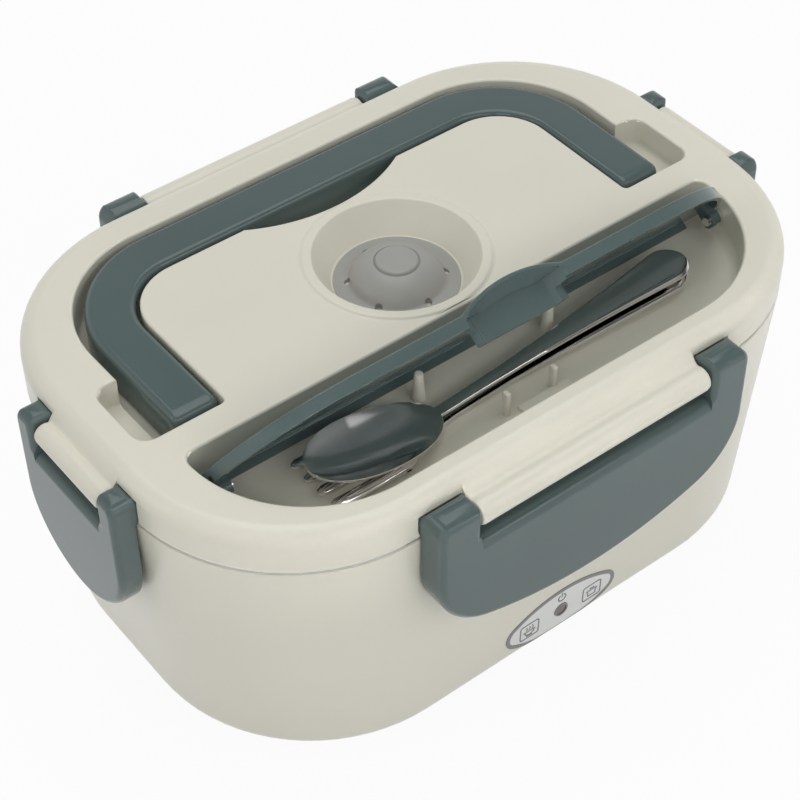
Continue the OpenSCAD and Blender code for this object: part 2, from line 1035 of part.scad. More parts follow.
outer_shell();
bottom_cover();
bottom_screws();
rubber_feet();
inner_liner();
heating_plate();
ptc_heater();
heater_bracket();
heater_screws();
thermostat();
thermal_fuse();
insulation_pad();
indicator_board();
indicator_lamp();
lamp_lens();
lamp_bezel();
power_panel();
inlet_housing();
inlet_pins();
live_lead();
neutral_lead();
lamp_leads();
steel_tray();
compartment_box();
compartment_lid();
lid_shell();
lid_inner_cover();
lid_gasket();
lid_screws();
handle_pins();
cover_pins();
latch_pins();
carry_handle();
steam_valve();
cutlery_cover();
front_latch();
back_latch();
left_latch();
right_latch();
spoon();
fork();
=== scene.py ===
import bpy
import bmesh
import math
from mathutils import Matrix, Vector


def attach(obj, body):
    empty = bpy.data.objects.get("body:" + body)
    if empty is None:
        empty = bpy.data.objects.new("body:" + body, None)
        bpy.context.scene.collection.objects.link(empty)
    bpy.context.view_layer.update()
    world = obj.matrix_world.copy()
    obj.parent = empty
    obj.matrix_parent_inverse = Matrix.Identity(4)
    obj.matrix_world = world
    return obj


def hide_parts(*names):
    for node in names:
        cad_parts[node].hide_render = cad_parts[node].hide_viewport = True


bpy.context.scene.view_settings.view_transform = "Standard"
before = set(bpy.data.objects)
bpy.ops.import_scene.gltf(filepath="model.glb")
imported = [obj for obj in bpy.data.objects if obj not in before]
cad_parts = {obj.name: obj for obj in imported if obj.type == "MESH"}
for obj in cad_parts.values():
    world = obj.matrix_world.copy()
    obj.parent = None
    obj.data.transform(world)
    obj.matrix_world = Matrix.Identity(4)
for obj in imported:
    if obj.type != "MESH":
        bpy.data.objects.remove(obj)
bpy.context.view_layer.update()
mm = 0.001
lidTop = 104.5  # lid's top above the table, mm
panelZ, lampHoleR = 13.3, 2.75  # power panel's middle height, lamp's hole
print("frame loaded")

# camera and light

camera = {"place": (-285.99, -367.50, 511.28), "azimuth": -37.89, "elevation": 44.68, "roll": 0.31,
          "lens": 90.918, "shift": (-0.01426, -0.01059)}
studio = {"topPower": 4.4, "keyPower": 1.8, "frontPower": 2.4, "lowPower": 1.0, "edgePower": 0.9,
          "beamPower": 0.013, "ambient": 0.39}


def makeCamera(c):
    az, el, roll = (math.radians(c[k]) for k in ("azimuth", "elevation", "roll"))
    back = Vector((math.sin(az) * math.cos(el), -math.cos(az) * math.cos(el), math.sin(el)))
    right = Vector((math.cos(az), math.sin(az), 0))
    up = back.cross(right)
    turnedRight = right * math.cos(roll) - up * math.sin(roll)
    turnedUp = right * math.sin(roll) + up * math.cos(roll)
    data = bpy.data.cameras.new("camera")
    data.lens, data.sensor_width = c["lens"], 36
    data.shift_x, data.shift_y = c["shift"]
    data.clip_start, data.clip_end = 0.02, 20
    obj = bpy.data.objects.new("camera", data)
    bpy.context.scene.collection.objects.link(obj)
    place = Vector(c["place"]) * mm
    obj.matrix_world = Matrix((
        (turnedRight.x, turnedUp.x, back.x, place.x),
        (turnedRight.y, turnedUp.y, back.y, place.y),
        (turnedRight.z, turnedUp.z, back.z, place.z),
        (0, 0, 0, 1)))
    bpy.context.scene.camera = obj


def softbox(name, place, aim, size, power, spread=180):
    data = bpy.data.lights.new(name, "AREA")
    data.shape, data.size, data.size_y = "RECTANGLE", size[0], size[1]
    data.energy, data.spread = power, math.radians(spread)
    obj = bpy.data.objects.new(name, data)
    bpy.context.scene.collection.objects.link(obj)
    obj.location = place
    obj.rotation_euler = (Vector(aim) - Vector(place)).to_track_quat("-Z", "Y").to_euler()


def makeWorld(s):
    world = bpy.data.worlds.new("studio")
    bpy.context.scene.world = world
    world.use_nodes = True
    n, link = world.node_tree.nodes, world.node_tree.links.new
    n.clear()
    out = n.new("ShaderNodeOutputWorld")
    plain = n.new("ShaderNodeBackground")
    plain.inputs["Color"].default_value = (1, 1, 1, 1)
    plain.inputs["Strength"].default_value = s["ambient"]
    room = n.new("ShaderNodeBackground")  # what bright metal mirrors: pale walls, a dark ceiling
    white = n.new("ShaderNodeBackground")
    white.inputs["Color"].default_value = (1, 1, 1, 1)
    coord = n.new("ShaderNodeTexCoord")
    split = n.new("ShaderNodeSeparateXYZ")
    ramp = n.new("ShaderNodeValToRGB")
    e = ramp.color_ramp.elements
    e[0].position, e[0].color = 0.0, (1, 1, 1, 1)
    e[1].position, e[1].color = 1.0, (0.7, 0.7, 0.7, 1)
    for at, level in ((0.26, 1.0), (0.42, 0.8), (0.62, 0.5), (0.71, 0.1), (0.80, 0.07), (0.90, 0.4)):
        stop = e.new(at)
        stop.color = (level, level, level, 1)
    link(coord.outputs["Generated"], split.inputs[0])
    link(split.outputs["Z"], ramp.inputs[0])
    link(ramp.outputs[0], room.inputs["Color"])
    path = n.new("ShaderNodeLightPath")
    seen = n.new("ShaderNodeMath")
    seen.operation = "MAXIMUM"
    link(path.outputs["Is Camera Ray"], seen.inputs[0])
    link(path.outputs["Is Transmission Ray"], seen.inputs[1])
    first, second = n.new("ShaderNodeMixShader"), n.new("ShaderNodeMixShader")
    link(path.outputs["Is Glossy Ray"], first.inputs[0])
    link(plain.outputs[0], first.inputs[1])
    link(room.outputs[0], first.inputs[2])
    link(seen.outputs[0], second.inputs[0])
    link(first.outputs[0], second.inputs[1])
    link(white.outputs[0], second.inputs[2])
    link(second.outputs[0], out.inputs[0])


def makeFloor():
    bpy.ops.mesh.primitive_plane_add(size=6, location=(0, 0, -0.0002))
    floor = bpy.context.object
    floor.name = "floor"
    mat = bpy.data.materials.new("paleFloor")
    mat.use_nodes = True
    n, link = mat.node_tree.nodes, mat.node_tree.links.new
    n.clear()
    out = n.new("ShaderNodeOutputMaterial")
    paint = n.new("ShaderNodeBsdfDiffuse")
    paint.inputs["Color"].default_value = (0.88, 0.88, 0.88, 1)
    glow = n.new("ShaderNodeEmission")
    glow.inputs["Color"].default_value = (1, 1, 1, 1)
    shine = n.new("ShaderNodeMixShader")
    shine.inputs[0].default_value = 0.93
    path = n.new("ShaderNodeLightPath")
    seen, most = n.new("ShaderNodeMath"), n.new("ShaderNodeMath")
    seen.operation = most.operation = "MAXIMUM"
    link(path.outputs["Is Camera Ray"], seen.inputs[0])
    link(path.outputs["Is Glossy Ray"], seen.inputs[1])
    link(seen.outputs[0], most.inputs[0])
    link(path.outputs["Is Transmission Ray"], most.inputs[1])
    pick = n.new("ShaderNodeMixShader")
    link(most.outputs[0], pick.inputs[0])
    link(paint.outputs[0], pick.inputs[1])
    link(paint.outputs[0], shine.inputs[1])
    link(glow.outputs[0], shine.inputs[2])
    link(shine.outputs[0], pick.inputs[2])
    link(pick.outputs[0], out.inputs[0])
    floor.data.materials.append(mat)


makeCamera(camera)
makeWorld(studio)
makeFloor()
softbox("topBox", (0.15, 0.25, 1.1), (0, 0, 0.05), (0.9, 0.9), studio["topPower"])
softbox("keyBox", (-0.9, -0.8, 1.0), (0, 0, 0.05), (0.5, 0.5), studio["keyPower"])
softbox("frontBox", (0.1, -1.0, 0.8), (0, 0, 0.08), (1.1, 0.25), studio["frontPower"])
softbox("lowBox", (-0.1, -1.3, 0.22), (0, 0, 0.08), (1.4, 0.3), studio["lowPower"])
softbox("edgeStrip", (-1.0, 0.24, 0.7), (0, 0, 0.08), (0.7, 0.25), studio["edgePower"])
# a narrow beam that reaches under the open cover
softbox("coverBeam", (-0.1, -0.62, 0.2), (0, -0.045, 0.12), (0.26, 0.02), studio["beamPower"], 14)
print("camera and light set")

# outlines, in mm


def arc(cx, cy, r, a0, a1, n):
    return [(cx + r * math.cos(math.radians(a0 + (a1 - a0) * i / n)),
             cy + r * math.sin(math.radians(a0 + (a1 - a0) * i / n))) for i in range(n + 1)]


def roundRect(hx, hy, r, n=18, cx=0, cy=0):
    points = []
    for sx, sy, a in ((1, 1, 0), (-1, 1, 90), (-1, -1, 180), (1, -1, 270)):
        points += arc(cx + sx * (hx - r), cy + sy * (hy - r), r, a, a + 90, n)
    return points


def roundPoly(corners, step=1.6):
    points = []
    count = len(corners)
    for i, (x, y, r) in enumerate(corners):
        p = Vector((x, y))
        a = (Vector(corners[i - 1][:2]) - p).normalized()
        b = (Vector(corners[(i + 1) % count][:2]) - p).normalized()
        if r <= 0:
            points.append((x, y))
            continue
        half = a.angle(b) / 2
        centre = p + (a + b).normalized() * (r / math.sin(half))
        start, end = p + a * (r / math.tan(half)), p + b * (r / math.tan(half))
        a0 = math.atan2(start.y - centre.y, start.x - centre.x)
        sweep = math.atan2(end.y - centre.y, end.x - centre.x) - a0
        sweep = (sweep + math.pi) % (2 * math.pi) - math.pi
        n = max(3, int(abs(sweep) * r / step))
        points += arc(centre.x, centre.y, r, math.degrees(a0), math.degrees(a0 + sweep), n)
    return points


def clean(points, gap=0.02):
    kept = []
    for p in points:
        if not kept or math.dist(p, kept[-1]) > gap:
            kept.append(p)
    if math.dist(kept[0], kept[-1]) <= gap:
        kept.pop()
    return kept


def grown(points, d):
    out = []
    count = len(points)
    for i, (x, y) in enumerate(points):
        a = Vector((x - points[i - 1][0], y - points[i - 1][1])).normalized()
        b = Vector((points[(i + 1) % count][0] - x, points[(i + 1) % count][1] - y)).normalized()
        t = (a + b).normalized()
        normal = Vector((t.y, -t.x))
        out.append((x + normal.x * d / max(0.5, normal.dot(Vector((a.y, -a.x)))),
                    y + normal.y * d / max(0.5, normal.dot(Vector((a.y, -a.x))))))
    return out


def blockRings(path, z0, z1, lowR=0, topR=0, n=4):
    rings = [(-lowR, z0)] if lowR else [(0, z0)]
    for i in range(1, n + 1):
        a = math.radians(90 * i / n)
        if lowR:
            rings.append((-lowR + lowR * math.sin(a), z0 + lowR - lowR * math.cos(a)))
    if topR:
        for i in range(n + 1):
            a = math.radians(90 * i / n)
            rings.append((-topR + topR * math.cos(a), z1 - topR + topR * math.sin(a)))
    else:
        rings.append((0, z1))
    return [[(x, y, z) for x, y in (grown(path, d) if d else path)] for d, z in rings]


def pocketRings(path, z0, z1, floorR=0, edgeR=0, n=4, over=2):
    rings = [(-floorR, z0)] if floorR else [(0, z0)]
    for i in range(1, n + 1):
        a = math.radians(90 * i / n)
        if floorR:
            rings.append((-floorR + floorR * math.sin(a), z0 + floorR - floorR * math.cos(a)))
    for i in range(n + 1):
        a = math.radians(90 * i / n)
        if edgeR:
            rings.append((edgeR - edgeR * math.cos(a), z1 - edgeR + edgeR * math.sin(a)))
    rings.append((edgeR, z1 + over))
    return [[(x, y, z) for x, y in (grown(path, d) if d else path)] for d, z in rings]


# modelling


def pickOnly(obj):
    if bpy.context.object and bpy.context.object.mode != "OBJECT":
        bpy.ops.object.mode_set(mode="OBJECT")
    bpy.ops.object.select_all(action="DESELECT")
    obj.select_set(True)
    bpy.context.view_layer.objects.active = obj


def loft(name, rings, turn=None):
    # a filled circle takes the first outline's shape and is extruded through the others
    bpy.ops.object.select_all(action="DESELECT")
    bpy.ops.mesh.primitive_circle_add(vertices=len(rings[0]), radius=1, fill_type="NGON")
    obj = bpy.context.object
    obj.name = obj.data.name = name
    place = turn or (lambda p: p)
    for v, p in zip(obj.data.vertices, rings[0]):
        v.co = Vector(place(p)) * mm
    bpy.ops.object.mode_set(mode="EDIT")
    bpy.ops.mesh.select_mode(type="FACE")
    bpy.ops.mesh.select_all(action="SELECT")
    last = rings[0]
    for ring in rings[1:]:
        bpy.ops.mesh.extrude_region_move()
        bm = bmesh.from_edit_mesh(obj.data)
        where = {}
        for old, new in zip(last, ring):
            c = Vector(place(old)) * mm
            where[(round(c.x, 7), round(c.y, 7), round(c.z, 7))] = Vector(place(new)) * mm
        for v in bm.verts:
            if v.select:
                key = (round(v.co.x, 7), round(v.co.y, 7), round(v.co.z, 7))
                if key not in where:
                    key = min(where, key=lambda k: (Vector(k) - v.co).length)
                v.co = where[key]
        bmesh.update_edit_mesh(obj.data)
        last = ring
    bpy.ops.mesh.select_all(action="SELECT")
    bpy.ops.mesh.normals_make_consistent(inside=False)
    bpy.ops.object.mode_set(mode="OBJECT")
    return obj


def applied(obj, kind, **values):
    pickOnly(obj)
    mod = obj.modifiers.new(kind.lower(), kind)
    for k, v in values.items():
        setattr(mod, k, v)
    bpy.ops.object.modifier_apply(modifier=mod.name)


def combine(obj, tool, how):
    applied(obj, "BOOLEAN", object=tool, operation=how, solver="EXACT")
    bpy.data.objects.remove(tool, do_unlink=True)
    return obj


def cut(obj, tool):
    return combine(obj, tool, "DIFFERENCE")


def join(obj, tool):
    return combine(obj, tool, "UNION")


def keepInside(obj, tool):
    return combine(obj, tool, "INTERSECT")


def smooth(obj, angle=34, weighted=True):
    pickOnly(obj)
    bpy.ops.object.mode_set(mode="EDIT")
    bpy.ops.mesh.select_all(action="SELECT")
    bpy.ops.mesh.remove_doubles(threshold=0.000005)
    bpy.ops.mesh.dissolve_degenerate(threshold=0.000005)
    bpy.ops.object.mode_set(mode="OBJECT")
    bpy.ops.object.shade_smooth_by_angle(angle=math.radians(angle))
    if weighted:
        applied(obj, "WEIGHTED_NORMAL", mode="FACE_AREA", weight=60, keep_sharp=True)


def boxRings(x0, x1, y0, y1, z0, z1, r=0.4):
    path = clean(roundRect((x1 - x0) / 2, (y1 - y0) / 2, max(r, 0.05), 4, (x0 + x1) / 2, (y0 + y1) / 2))
    return blockRings(path, z0, z1, r * 0.9, r * 0.9, 3)


def disc(r, n=48):
    return arc(0, 0, r, 0, 360, n)[:-1]


def alongX(p):
    return (p[2], p[0], p[1])  # outline in Y and Z, extruded in X


def alongY(p):
    return (p[0], -p[2], p[1])  # outline in X and Z, extruded towards the front


def turned(obj, matrix):
    obj.data.transform(matrix)
    if matrix.determinant() < 0:
        obj.data.flip_normals()
    obj.data.update()
    return obj


def copied(obj, name, matrix):
    twin = obj.copy()
    twin.data = obj.data.copy()
    twin.name = twin.data.name = name
    bpy.context.scene.collection.objects.link(twin)
    turned(twin, matrix)
    return twin


# finishes


def newMaterial(name):
    mat = bpy.data.materials.new(name)
    mat.use_nodes = True
    return mat, mat.node_tree.nodes, mat.node_tree.links.new, mat.node_tree.nodes["Principled BSDF"]


def mouldedPlastic(name, colour, rough=0.38, mottle=0.03, grain=0.05, coat=0.0, sheen=0.5):
    mat, n, link, skin = newMaterial(name)
    coord = n.new("ShaderNodeTexCoord")
    cloud = n.new("ShaderNodeTexNoise")
    cloud.inputs["Scale"].default_value = 34
    cloud.inputs["Detail"].default_value = 4
    tone = n.new("ShaderNodeValToRGB")
    tone.color_ramp.elements[0].position, tone.color_ramp.elements[1].position = 0.3, 0.7
    tone.color_ramp.elements[0].color = (*[c * (1 - mottle) for c in colour], 1)
    tone.color_ramp.elements[1].color = (*[min(1, c * (1 + mottle)) for c in colour], 1)
    spark = n.new("ShaderNodeTexNoise")
    spark.inputs["Scale"].default_value = 2600
    spark.inputs["Detail"].default_value = 2
    gloss = n.new("ShaderNodeMapRange")
    gloss.inputs["To Min"].default_value = rough * 0.88
    gloss.inputs["To Max"].default_value = rough * 1.12
    bump = n.new("ShaderNodeBump")
    bump.inputs["Strength"].default_value = grain
    bump.inputs["Distance"].default_value = 0.0001
    for tex in (cloud, spark):
        link(coord.outputs["Object"], tex.inputs["Vector"])
    link(cloud.outputs["Fac"], tone.inputs[0])
    link(tone.outputs[0], skin.inputs["Base Color"])
    link(cloud.outputs["Fac"], gloss.inputs["Value"])
    link(gloss.outputs[0], skin.inputs["Roughness"])
    link(spark.outputs["Fac"], bump.inputs["Height"])
    link(bump.outputs[0], skin.inputs["Normal"])
    skin.inputs["Coat Weight"].default_value = coat
    skin.inputs["Coat Roughness"].default_value = 0.15
    skin.inputs["Specular IOR Level"].default_value = sheen
    return mat


def polishedMetal(name, colour, rough=0.12, brushed=0.0, direction=(1, 1, 1), swirl=90):
    mat, n, link, skin = newMaterial(name)
    coord, stretch = n.new("ShaderNodeTexCoord"), n.new("ShaderNodeMapping")
    stretch.inputs["Scale"].default_value = direction
    hair = n.new("ShaderNodeTexNoise")
    hair.inputs["Scale"].default_value = swirl
    hair.inputs["Detail"].default_value = 5
    tone = n.new("ShaderNodeValToRGB")
    tone.color_ramp.elements[0].color = (*[c * 0.9 for c in colour], 1)
    tone.color_ramp.elements[1].color = (*colour, 1)
    gloss = n.new("ShaderNodeMapRange")
    gloss.inputs["To Min"].default_value = rough * 0.75
    gloss.inputs["To Max"].default_value = rough * 1.3
    bump = n.new("ShaderNodeBump")
    bump.inputs["Strength"].default_value = brushed
    bump.inputs["Distance"].default_value = 0.0001
    link(coord.outputs["Object"], stretch.inputs["Vector"])
    link(stretch.outputs[0], hair.inputs["Vector"])
    link(hair.outputs["Fac"], tone.inputs[0])
    link(tone.outputs[0], skin.inputs["Base Color"])
    link(hair.outputs["Fac"], gloss.inputs["Value"])
    link(gloss.outputs[0], skin.inputs["Roughness"])
    link(hair.outputs["Fac"], bump.inputs["Height"])
    link(bump.outputs[0], skin.inputs["Normal"])
    skin.inputs["Metallic"].default_value = 1
    return mat


def softSilicone(name, colour):
    mat = mouldedPlastic(name, colour, 0.42, 0.02, 0.03)
    skin = mat.node_tree.nodes["Principled BSDF"]
    skin.inputs["Subsurface Weight"].default_value = 0.6
    skin.inputs["Subsurface Radius"].default_value = (0.004, 0.004, 0.004)
    skin.inputs["Transmission Weight"].default_value = 0.15
    return mat


ivory = mouldedPlastic("ivoryPlastic", (0.75, 0.73, 0.625), 0.30, 0.010, 0.004)
tealGrey = mouldedPlastic("tealGreyPlastic", (0.092, 0.130, 0.128), 0.13, 0.03, 0.004, 0, 0.36)
valveSilicone = softSilicone("valveSilicone", (0.42, 0.42, 0.40))
sealSilicone = softSilicone("sealSilicone", (0.78, 0.78, 0.74))
footRubber = mouldedPlastic("footRubber", (0.03, 0.03, 0.032), 0.75, 0.08, 0.3)
cutlerySteel = polishedMetal("cutlerySteel", (0.84, 0.82, 0.81), 0.06, 0.01, (1, 6, 6), 60)
sheetSteel = polishedMetal("sheetSteel", (0.74, 0.74, 0.75), 0.24, 0.02, (1, 1, 30), 60)
castPlate = polishedMetal("castPlate", (0.66, 0.67, 0.68), 0.42, 0.3, (1, 1, 1), 900)
blackMoulding = mouldedPlastic("blackMoulding", (0.025, 0.025, 0.027), 0.45, 0.05, 0.1)
panelFace = mouldedPlastic("panelFace", (0.77, 0.78, 0.76), 0.22, 0.008, 0.01)
panelPrint = mouldedPlastic("panelPrint", (0.20, 0.20, 0.205), 0.35, 0.03, 0.02)
lampRed = mouldedPlastic("lampTint", (0.06, 0.02, 0.018), 0.12, 0.1, 0.0, 0.6)
boxPlastic = mouldedPlastic("boxPlastic", (0.80, 0.80, 0.77), 0.30, 0.02, 0.04)
woolPad = mouldedPlastic("woolPad", (0.62, 0.62, 0.60), 0.95, 0.14, 1.0)
wireSleeve = mouldedPlastic("wireSleeve", (0.30, 0.10, 0.07), 0.5, 0.06, 0.08)
boardGreen = mouldedPlastic("boardGreen", (0.03, 0.12, 0.06), 0.35, 0.10, 0.1)
print("finishes made")

nodeFinish = {
    "bottom_cover": ivory, "bottom_screws": cutlerySteel, "rubber_feet": footRubber, "inner_liner": sheetSteel,
    "heating_plate": castPlate, "ptc_heater": castPlate, "heater_bracket": sheetSteel, "heater_screws": cutlerySteel,
    "thermostat": blackMoulding, "thermal_fuse": boxPlastic, "insulation_pad": woolPad,
    "indicator_board": boardGreen, "indicator_lamp": lampRed, "lamp_lens": lampRed, "lamp_bezel": panelPrint,
    "inlet_housing": blackMoulding, "inlet_pins": cutlerySteel, "live_lead": wireSleeve, "neutral_lead": wireSleeve,
    "lamp_leads": wireSleeve, "steel_tray": sheetSteel, "compartment_box": boxPlastic,
    "compartment_lid": boxPlastic, "lid_inner_cover": ivory, "lid_gasket": sealSilicone, "lid_screws": cutlerySteel,
    "handle_pins": cutlerySteel, "cover_pins": cutlerySteel, "latch_pins": cutlerySteel,
}


def dress(obj, mat):
    obj.data.materials.clear()
    obj.data.materials.append(mat)


for nodeName, mat in nodeFinish.items():
    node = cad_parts[nodeName]
    if not node.material_slots:
        node.data.materials.append(mat)
    for place in node.material_slots:
        place.material = mat


def hand(obj, name, mat, body, slotName, *nodes):
    obj.name = obj.data.name = name
    dress(obj, mat)
    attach(obj, body)
    if nodes:
        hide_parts(*nodes)


# body

shell = {"half": (117, 78.4), "corner": 58.4, "footHalf": (111.5, 76.0), "footCorner": 59.0,
         "top": 89.5, "foot": 1.5, "footRound": 6, "wall": 2.4, "inletZ": 13.8, "ribLow": 21.8, "ribHigh": 20.2,
         "ribOut": 1.1}


def bodyRings(s, inset=0.0, top=None, foot=None, steps=6):
    top = s["top"] if top is None else top
    foot = s["foot"] if foot is None else foot
    r = s["footRound"] - inset
    rings = []
    for i in range(steps + 1):
        a = math.radians(90 * i / steps)
        d = r * (1 - math.sin(a))
        path = roundRect(s["footHalf"][0] - inset - d, s["footHalf"][1] - inset - d, s["footCorner"] - inset - d)
        rings.append([(x, y, foot + r - r * math.cos(a)) for x, y in path])
    lean = (top - foot - r) / (s["top"] - s["foot"] - s["footRound"])
    half = [a + (b - a) * lean - inset for a, b in zip(s["footHalf"], s["half"])]
    corner = s["footCorner"] + (s["corner"] - s["footCorner"]) * lean - inset
    if not inset:
        for d, z in ((0, top - 0.6), (-0.18, top - 0.18), (-0.6, top)):
            rings.append([(x, y, z) for x, y in roundRect(half[0] + d, half[1] + d, corner + d)])
    else:
        rings.append([(x, y, top) for x, y in roundRect(half[0], half[1], corner)])
    return rings


def wallY(z):
    low = shell["foot"] + shell["footRound"]
    share = (z - low) / (shell["top"] - low)
    return -(shell["footHalf"][1] + share * (shell["half"][1] - shell["footHalf"][1]))


def makeShell(s):
    obj = loft("bodyShell", bodyRings(s))
    cut(obj, loft("cavity", bodyRings(s, s["wall"], s["top"] + 2, s["foot"] + 4.6)))
    cut(obj, loft("opening", blockRings(roundRect(84, 46, 36), -2, 12)))
    cut(obj, loft("rebate", blockRings(roundRect(100.4, 64.4, 52.4), -3, s["foot"] + 2.2)))
    cut(obj, loft("lampHole", [[(x, z + panelZ, w) for x, z in disc(lampHoleR, 32)] for w in (60, 90)], alongY))
    cut(obj, loft("inletHole", blockRings(roundRect(10.05, 5.05, 1.2, 6, 0, s["inletZ"]), 104, 122), alongX))
    low, high, out = lidTop - s["ribLow"], lidTop - s["ribHigh"], s["ribOut"]
    for sign in (1, -1):
        x, y = sign * s["half"][0], sign * s["half"][1]
        join(obj, loft("rib", boxRings(-26, 26, y - out, y + out, low, high, 0.5)))
        join(obj, loft("rib", boxRings(x - out, x + out, -10, 10, low, high, 0.5)))
    smooth(obj)
    hand(obj, "bodyShell", ivory, "base", "ivory_plastic", "outer_shell")


makeShell(shell)
print("body made")

# lid

lid = {"half": (117, 78.4), "corner": 58.4, "seam": 90.5, "round": 5.5, "depth": 13.5,
       "valveY": 7, "bowlR": 26.3, "bowlFoot": 20.8, "bowlDepth": 10, "ringR": 29.6}
longAxis, shortAxis = (84.0, lidTop - 9.2), (120.6, lidTop - 9.0)  # latch hinges: out from the middle, height
coverHinge = (-35.2, lidTop - 6.6)


def groovePath():
    half = math.degrees(math.asin(29.87 / 58.5))
    scallop = [(x, y, 0) for x, y in arc(0, 96.5, 58.5, 270 - half, 270 + half, 26)]
    return clean(roundPoly([(77, -12.7, 1.5), (97, -12.7, 3), (97, 65.4, 38), (-97, 65.4, 38), (-97, -12.7, 3),
                            (-77, -12.7, 1.5), (-77, 46.2, 19)] + scallop + [(77, 46.2, 19)], 2.0))


def wellPath(r, back, q):
    # two end arcs, a straight back and two rounded back corners
    y = back - q + 26.5
    x = math.sqrt((r - q) ** 2 - y ** 2)
    turn = math.degrees(math.atan2(y, x))
    right = arc(57 + x, back - q, q, 90, turn, 8) + arc(57, -26.5, r, turn, -90, 44)
    left = arc(-57, -26.5, r, -90, -180 - turn, 44) + arc(-57 - x, back - q, q, -180 - turn, -270, 8)
    return clean(list(reversed(right + left)))


def recessPath(grow=0.0):
    return wellPath(42 + grow, -23.2 + grow, 3.8 + grow)


def lipRings(r, axis, drop, inner, leave, length, endR=1.3):
    # roll whose web leaves the lid's rounded edge in a shallow valley, drawn in Y and Z
    out, up = axis
    turn = math.radians(leave)
    start = Vector((inner + lid["round"] * (1 + math.cos(turn)),
                    lidTop - lid["round"] - up + lid["round"] * math.sin(turn)))
    meet = math.radians(68)  # where the valley meets the roll
    end = Vector((math.cos(meet), math.sin(meet))) * r
    pull = start + Vector((-math.sin(turn), math.cos(turn))) * 3.3
    flat = end + Vector((math.sin(meet), -math.cos(meet))) * 1.4
    valley = [(start.x + 0.9, -drop), (start.x + 0.9, start.y + 0.75)]
    for i in range(13):
        t = i / 12
        p = start * (1 - t) ** 3 + pull * 3 * t * (1 - t) ** 2 + flat * 3 * t * t * (1 - t) + end * t ** 3
        valley.append((p.x, p.y))
    path = [(y - out, z + up) for y, z in valley] + arc(-out, up, r, 68, 290, 34)[1:]
    rings = []
    for sign, order in ((-1, (0, 1, 2)), (1, (2, 1, 0))):
        for k in order:
            pull, x = ((0.2 * endR, 0), (0.06 * endR, endR * 0.29), (0, endR))[k]
            rings.append([(a - (a + out) * pull, b - (b - up) * pull, sign * (length - x)) for a, b in path])
    return rings


def slabRings(hx, hy, r, z0, z1):
    return blockRings(roundRect(hx, hy, r), z0, z1)


def rod(name, r, x0, x1, y, z, n=40):
    return loft(name, [[(a + y, b + z, w) for a, b in disc(r, n)] for w in (x0, x1)], alongX)


def turnedRod(side, tool, quarter):
    return turned(tool, Matrix.Rotation(math.radians(quarter + (180 if side > 0 else 0)), 4, "Z"))


